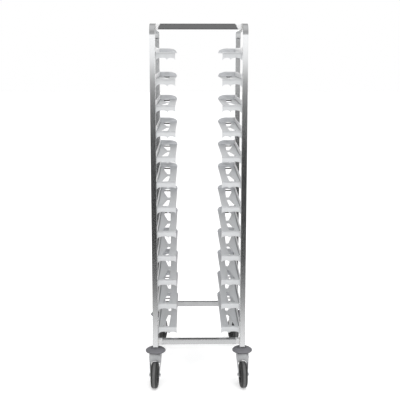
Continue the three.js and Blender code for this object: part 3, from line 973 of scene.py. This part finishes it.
def hood_shape():
    """The wall over the tyre of a free castor: its lower edge is an arch between two feet,
    z = c + sqrt(r^2 - x^2), and it curves into the crown at the top."""
    sideways = np.linspace(-1, 1, 33)
    wide = CHEEK_PLACE - 0.8
    arch = 111 + np.sqrt(np.clip(20**2 - (sideways * wide) ** 2, 0, None))
    lower = np.maximum(arch, 121)
    share = np.linspace(0, 1, 7)[:, None]
    top = 160.0
    z = lower + (top - lower) * share
    x = sideways * (wide - (CROWN_HEIGHT - z) * CHEEK_SLOPE)
    y = np.full(z.shape, HOOD_PLACE)
    turn = np.linspace(0, math.pi / 2, 5)[1:, None]
    bent_z = np.tile(top + HOOD_BEND * np.sin(turn), (1, 33))
    bent_y = np.tile(HOOD_PLACE + HOOD_BEND * (1 - np.cos(turn)), (1, 33))
    bent_x = np.tile(x[-1:], (4, 1))
    points = np.stack([
        np.concatenate([x, bent_x]), np.concatenate([y, bent_y]), np.concatenate([z, bent_z]),
    ], axis=2)
    return grid_mesh(points / 1000, np.arange(11) * 0.004, sideways * 0.026)


def boss_shape(side):
    outline = rounded([[6.1, 17.6], [9.6, 17.6], [9.6, 19.6], [6.1, 19.6]], 0.6) * [1, side]
    return turned_shape(outline, 32, sideways=True)


def crown_shape(braked):
    """The swivel housing under the crown plate. A free castor's has a skirt that reaches down
    towards the tyre, and a braked one's is short."""
    bore, under, top = 6.4, 145.9, 157.9
    low = under if braked else 131.2
    inner = [[bore, under]] if braked else [[bore, under], [11.2, under], [11.2, low]]
    outer = [[25.5, low], [CROWN_RADIUS, low + 3.5], [CROWN_RADIUS, 154], [24.5, top], [bore, top]]
    return turned_shape(rounded(inner + outer, 1.6), 56)


print("fork", CROWN_HEIGHT - AXLE_HEIGHT + TIP_RADIUS, "mm from its crown to its tips")

# %% [markdown]
# The pedal is one moulding with a tread behind and a pin across it to turn on. Its height
# and thickness are functions of the way along, so a rounded box carried along the castor
# gives the whole plate.

# %% Brake pedal
PEDAL_PIVOT = (-20, 133)  # along and up


def pedal_shape():
    """The plate, ribbed across its tread, and the pin."""
    along = np.concatenate([[4], np.linspace(3.6, -71, 60), [-72.6]])
    top = np.interp(along, [-73, -70, -40, -10, 4], [136.5, 139, 143.5, 142, 138])
    bottom = np.interp(along, [-73, -70, -38, -8, 4], [135.5, 133, 136.5, 131, 129])
    tread = np.clip((-30 - along) / 4, 0, 1) * np.clip((along + 69) / 2, 0, 1)
    ribs = 0.55 * tread * (0.5 + 0.5 * np.cos(2 * math.pi * along / 5.0))
    outline = rounded([[1, 1], [-1, 1], [-1, -1], [1, -1]], 0.35, 4)
    middle, thick = (top + bottom) / 2, (top - bottom) / 2
    half_wide = np.interp(along, [-73, -66, -30, 4], [13.0, 15, 15, 11])
    x = outline[None, :, 0] * half_wide[:, None]
    z = middle[:, None] + outline[None, :, 1] * thick[:, None]
    z = z + np.where(outline[None, :, 1] > 0.6, ribs[:, None] - 0.55 * tread[:, None], 0)
    y = np.tile(along[:, None], (1, len(outline)))
    body = np.stack([x, y, z], axis=2)
    ends = [np.tile(body[k].mean(0), (len(outline), 1))[None] for k in (0, -1)]
    points = np.concatenate([ends[0], body, ends[1]])
    way = np.arange(len(points)) * 0.0012
    plate = grid_mesh(points / 1000, way, walked(outline) * 0.015, wrap_columns=True)
    pin = rounded([[0.01, -22], [4.8, -22], [4.8, 22], [0.01, 22]], 0.8)
    pin_points, pin_way = turned(pin, 32)
    pin_points = pin_points[..., [2, 1, 0]] * [1, 1, -1] + [0, *PEDAL_PIVOT]
    pin_across = walked(pin) / 1000
    pivot = grid_mesh(pin_points / 1000, pin_way, pin_across, wrap_rows=True, wrap_columns=True)
    return joined(plate, pivot)


def swung(shape, angle, foot):
    """Turned about the swivel axis by angle, then moved to the castor's foot."""
    points, faces, mapped = shape
    c, s = math.cos(angle), math.sin(angle)
    turn = np.array([[c, -s, 0], [s, c, 0], [0, 0, 1]])
    return points @ turn.T + foot, faces, mapped


print("pedal turns about", PEDAL_PIVOT)

# %% [markdown]
# Each castor is the same set of pieces. The joint's place in the frame gives its foot, and
# the wheel joint's place gives the angle that it is swung to.

# %% The four castors
PLACES = {joint["name"]: joint["pos_m"] for joint in frame["joints"]}
def castor_pieces(end, castor):
    """For each piece: its name's ending, shape, sharp angle, thickness and bevel, material,
    slot and body, and whether it stands for a CAD node of its own."""
    braked = end == "rear"
    swivel, wheel = f"{castor}_swivel", f"{castor}_wheel"
    kinds = [
        ("buffer", buffer_shape(), 30, 0, 0, BUFFER_PLASTIC, "buffer_plastic", "frame", True),
        ("race", race_shape(), 45, 0, 0, ZINC, "zinc", "frame", True),
        ("fork", fork_shape(braked), 40, 0.003, 0.0006, ZINC, "zinc", swivel, True),
        ("axle", axle_shape(), 35, 0, 0, ZINC, "zinc", swivel, True),
        ("hub", hub_shape(), 45, 0, 0, HUB_PLASTIC, "hub_plastic", wheel, True),
        ("tyre", tyre_shape(), 50, 0, 0, TYRE_RUBBER, "tyre_rubber", wheel, True),
    ]
    if braked:
        kinds.append(("brake_pedal", pedal_shape(), 45, 0, 0, PEDAL_PLASTIC, "pedal_plastic",
                      f"{castor}_brake", True))
    bosses = joined(boss_shape(-1), boss_shape(1))
    kinds.append(("crown", crown_shape(braked), 45, 0, 0, ZINC, "zinc", swivel, False))
    kinds.append(("bosses", bosses, 45, 0, 0, ZINC, "zinc", swivel, False))
    if not braked:
        kinds.append(("hood", hood_shape(), 45, 0.0024, 0.0005, ZINC, "zinc", swivel, False))
    return kinds


for end in ("front", "rear"):
    for side_name in ("left", "right"):
        castor = f"castor_{end}_{side_name}"
        swivel_at, wheel_at = PLACES[f"{castor}_swivel_turn"], PLACES[f"{castor}_wheel_roll"]
        foot = np.array([swivel_at[0], swivel_at[1], 0])
        angle = math.atan2(wheel_at[0] - swivel_at[0], -(wheel_at[1] - swivel_at[1]))
        for kind, shape, sharp, thick, bevel, *look, own_node in castor_pieces(end, castor):
            material, slot, body = look
            name = f"{castor}_{kind}_shape" if own_node else f"{castor}_{kind}"
            nodes = [f"{castor}_{kind}"] if own_node else []
            mesh = mesh_of(name, swung(shape, angle, foot), sharp, solidify=thick, bevel=bevel)
            piece(name, mesh, material, slot, body, *nodes)
        NODES[f"{castor}_stem"].data.materials.clear()
        NODES[f"{castor}_stem"].data.materials.append(ZINC)

# %% [markdown]
# A plain white studio: a pale floor, a soft light overhead, one in front and an even light
# from all of the sky. Steel looks like what it mirrors, though, so the surroundings matter
# more than the lights. Metal sees a bright strip at the horizon. In front there is an almost
# black band just below it, as a dark room beyond the edge of a white floor would be, and
# elsewhere a paler one. The camera itself sees plain white.

# %% Floor and light
PAPER_WHITE = (1, 1, 1, 1)
bpy.ops.mesh.primitive_plane_add(size=60)
floor = bpy.context.object
floor.name = "floor"
floor.data.materials.append(
    finish("floor_paint", lambda wire: {"Roughness": 0.7 + 0.1 * wire.noise(wire.places(), 3.0)},
           Base_Color=(0.92, 0.92, 0.92, 1), Emission_Color=PAPER_WHITE, Emission_Strength=0.32)
)
floor.visible_glossy = False


def soft_light(name, place, aim, size, power):
    """A rectangle of light turned towards its aim. Polished metal doesn't mirror it."""
    data = bpy.data.lights.new(name, "AREA")
    data.shape = "RECTANGLE"
    data.size, data.size_y = size
    data.energy = power
    lamp = bpy.data.objects.new(name, data)
    lamp.location = place
    way = np.array(aim, float) - np.array(place, float)
    tilt = math.atan2(math.hypot(way[0], way[1]), -way[2])
    lamp.rotation_euler = (tilt, 0, math.atan2(way[1], way[0]) - math.pi / 2)
    lamp.visible_glossy = False
    bpy.context.scene.collection.objects.link(lamp)


soft_light("overhead", (0, 0, 4.0), (0, 0.001, 0), (3, 3), 40)
soft_light("front_fill", (0.6, -4.5, 2.6), (0, 0, 0.8), (3, 2), 50)
sun_data = bpy.data.lights.new("even_light", "SUN")
sun_data.energy = 1.7
sun_data.angle = math.radians(80)
sun = bpy.data.objects.new("even_light", sun_data)
sun.rotation_euler = (math.radians(25), 0, math.radians(20))
sun.visible_glossy = False
bpy.context.scene.collection.objects.link(sun)

world = bpy.data.worlds.new("studio")
bpy.context.scene.world = world
world.use_nodes = True
sky = Wire(world.node_tree)
direction = sky.node("ShaderNodeTexCoord", output="Generated")
_, north, up = sky.parts(direction)
height = 0.5 + 0.5 * up  # 0 straight down, 0.5 at the horizon, 1 straight up
all_round = height.ramp(
    (0.0, 0.75), (0.30, 0.62), (0.38, 0.40), (0.44, 0.30), (0.475, 0.60), (0.5, 1.15),
    (0.55, 1.15), (0.59, 0.74), (0.63, 0.34), (0.68, 0.22), (0.74, 0.30), (1.0, 0.60),
)
ahead = height.ramp(
    (0.12, 0.55), (0.20, 0.62), (0.27, 0.95), (0.30, 1.15), (0.324, 1.12), (0.3315, 0.72),
    (0.338, 0.24), (0.346, 0.095), (0.355, 0.060), (0.366, 0.040), (0.385, 0.030),
    (0.42, 0.030), (0.45, 0.055), (0.475, 0.11), (0.490, 0.32), (0.508, 1.2), (0.58, 1.2),
    (0.66, 0.45), (1.0, 0.35),
)
in_front = (0 - north).step(0.55, 0.80)
mirrored = sky.mixed(in_front, all_round, ahead)
by_camera = sky.node("ShaderNodeLightPath", output="Is Camera Ray")
shown = sky.mixed(by_camera, mirrored, PAPER_WHITE)
world.node_tree.links.new(shown.socket, world.node_tree.nodes["Background"].inputs[0])
